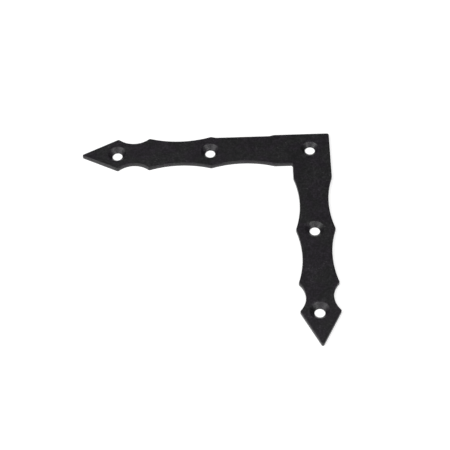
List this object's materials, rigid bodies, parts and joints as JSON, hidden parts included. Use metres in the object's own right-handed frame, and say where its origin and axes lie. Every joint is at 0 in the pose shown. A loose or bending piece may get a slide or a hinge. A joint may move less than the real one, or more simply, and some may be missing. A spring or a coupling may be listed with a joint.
{
  "type": "corner brace bracket",
  "caption": "Flat L-shaped corner plate with scalloped arms, spear-shaped tips and countersunk screw holes, for the face of a wooden corner joint.",
  "frame": {"origin": "on the axis of the corner hole, in the flat back face", "axes": "+Z out of the countersunk front face; one arm runs along -X and the other along -Y"},
  "size_m": [0.12, 0.12, 0.002],
  "materials": {
    "black_powder_coat": "fine-textured satin black powder coat"
  },
  "bodies": {
    "root": {"corner_plate": "black_powder_coat"}
  },
  "joints": []
}
